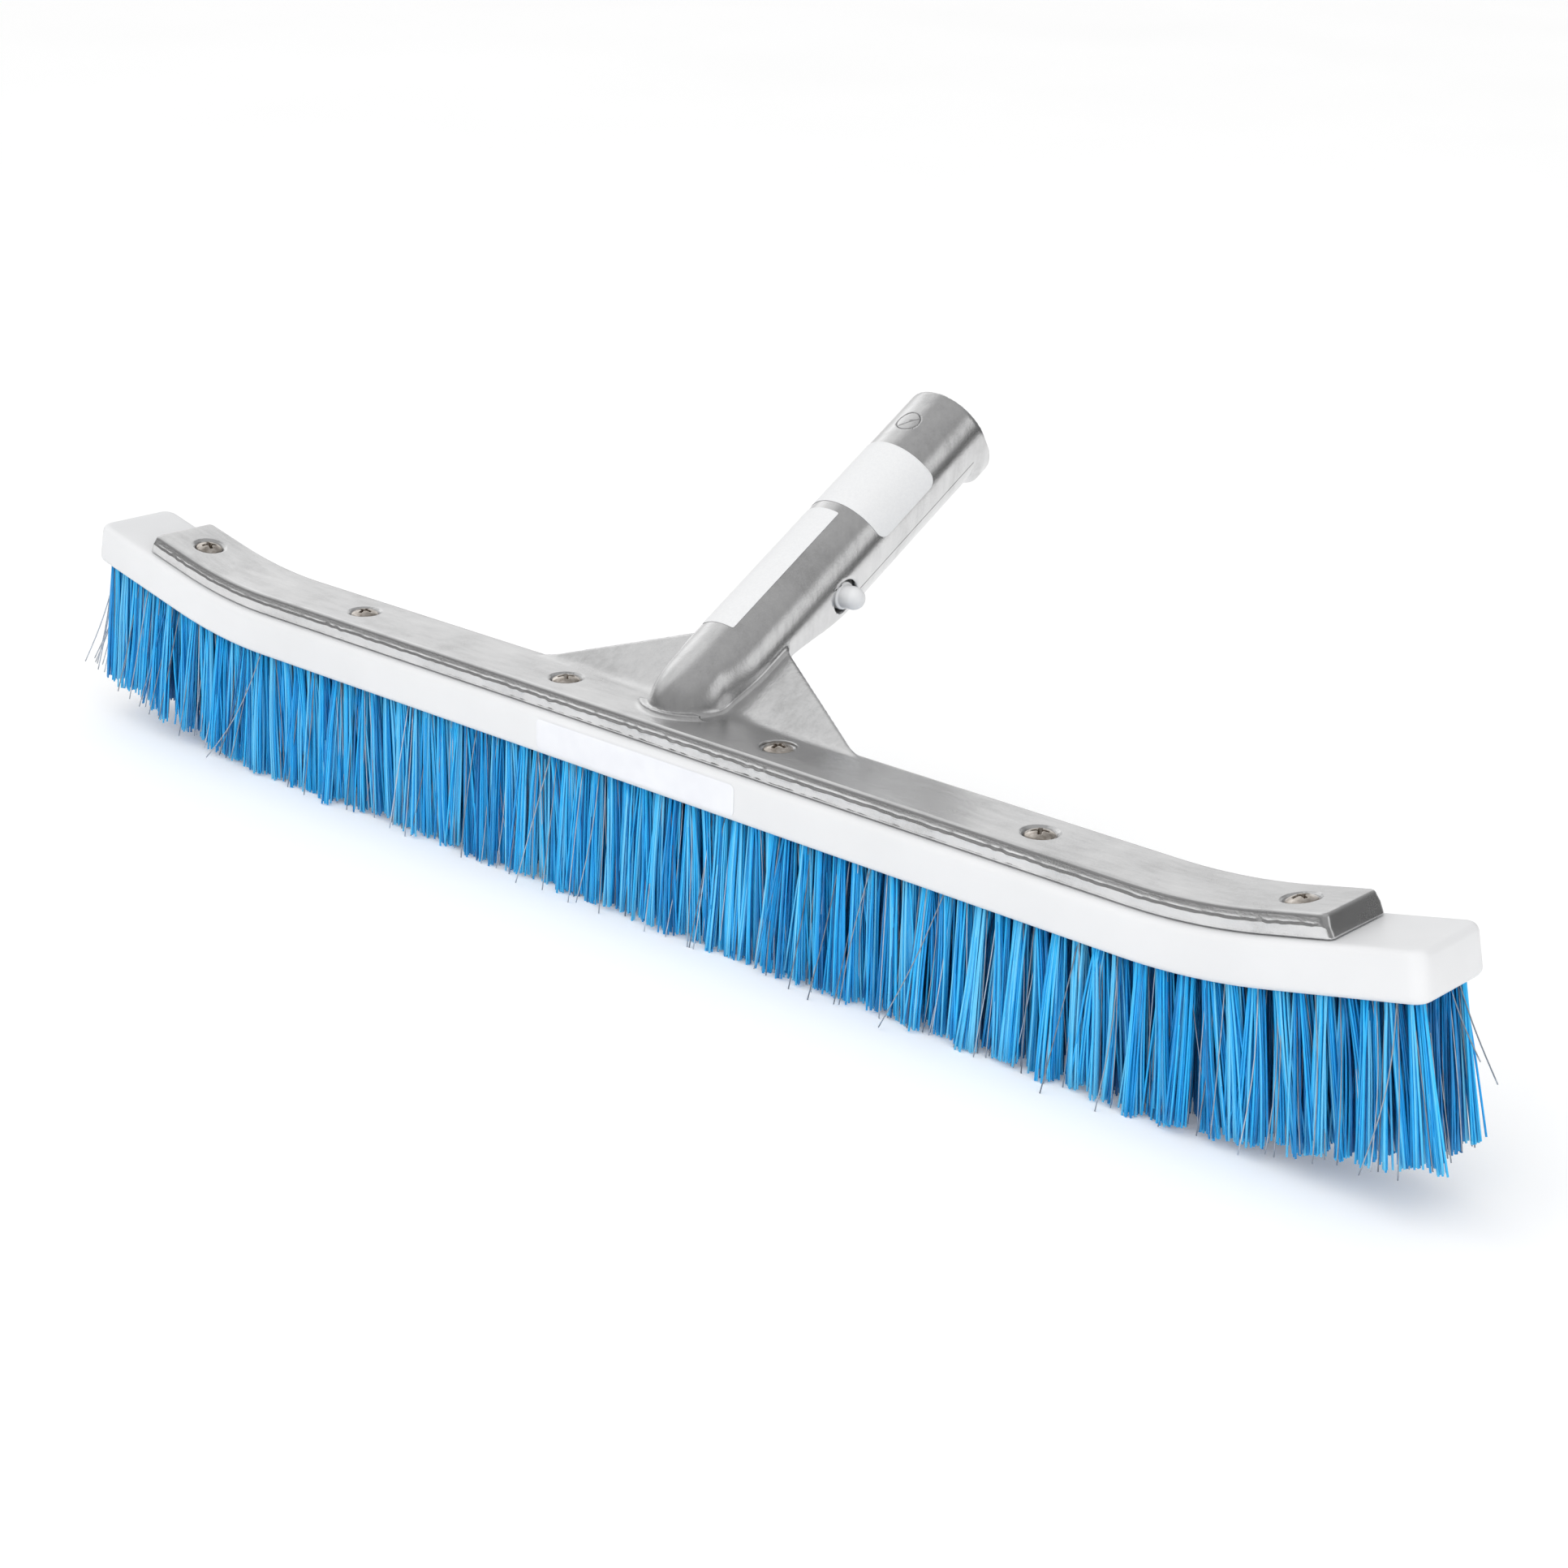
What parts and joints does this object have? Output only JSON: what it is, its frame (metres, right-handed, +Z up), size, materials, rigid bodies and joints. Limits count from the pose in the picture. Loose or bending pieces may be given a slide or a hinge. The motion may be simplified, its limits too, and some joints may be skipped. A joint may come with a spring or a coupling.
{
  "type": "pool wall brush",
  "caption": "Curved pool wall brush: cast metal back with a slanted pole tube and sprung buttons, screwed to a moulded block of mixed bristles.",
  "frame": {"origin": "centre of the flat face that the bristle tips are trimmed to", "axes": "+X along the brush, -Y towards the front (the side away from the pole), +Z up from the bristle tips to the metal back"},
  "size_m": [0.4718, 0.1301, 0.123],
  "materials": {
    "cast_aluminium": "satin",
    "block_plastic": "satin",
    "stainless_screw": "polished",
    "clip_plastic": "satin",
    "label_paper": "satin",
    "label_film": "gloss",
    "bristle_blue": "satin"
  },
  "bodies": {
    "root": {"handle_casting": "cast_aluminium", "bristle_block": "block_plastic", "back_screw_1": "stainless_screw", "back_screw_2": "stainless_screw", "back_screw_3": "stainless_screw", "back_screw_4": "stainless_screw", "back_screw_5": "stainless_screw", "back_screw_6": "stainless_screw", "clip_bend": "clip_plastic", "tube_label": "label_paper", "side_label": "label_paper", "block_label": "label_film", "tuft_group_01": "bristle_blue", "tuft_group_02": "bristle_blue", "tuft_group_03": "bristle_blue", "tuft_group_04": "bristle_blue", "tuft_group_05": "bristle_blue", "tuft_group_06": "bristle_blue", "tuft_group_07": "bristle_blue", "tuft_group_08": "bristle_blue", "tuft_group_09": "bristle_blue", "tuft_group_10": "bristle_blue", "tuft_group_11": "bristle_blue", "tuft_group_12": "bristle_blue", "tuft_group_13": "bristle_blue", "tuft_group_14": "bristle_blue", "tuft_group_15": "bristle_blue", "tuft_group_16": "bristle_blue", "tuft_group_17": "bristle_blue", "tuft_group_18": "bristle_blue", "tuft_group_19": "bristle_blue", "tuft_group_20": "bristle_blue", "tuft_group_21": "bristle_blue", "tuft_group_22": "bristle_blue", "tuft_group_23": "bristle_blue", "tuft_group_24": "bristle_blue", "tuft_group_25": "bristle_blue", "tuft_group_26": "bristle_blue", "tuft_group_27": "bristle_blue"},
    "left_leg": {"clip_leg_left": "clip_plastic"},
    "right_leg": {"clip_leg_right": "clip_plastic"}
  },
  "joints": [
    {"name": "left_button_press", "type": "hinge", "parent": "root", "child": "left_leg", "pos_m": [-0.0024, 0.0881, 0.09786], "axis": [0, -0.5, 0.866], "range_deg": [0, 7], "stiffness_Nm_per_rad": 2},
    {"name": "right_button_press", "type": "hinge", "parent": "root", "child": "right_leg", "pos_m": [0.0024, 0.0881, 0.09786], "axis": [0, 0.5, -0.866], "range_deg": [0, 7], "stiffness_Nm_per_rad": 2}
  ]
}
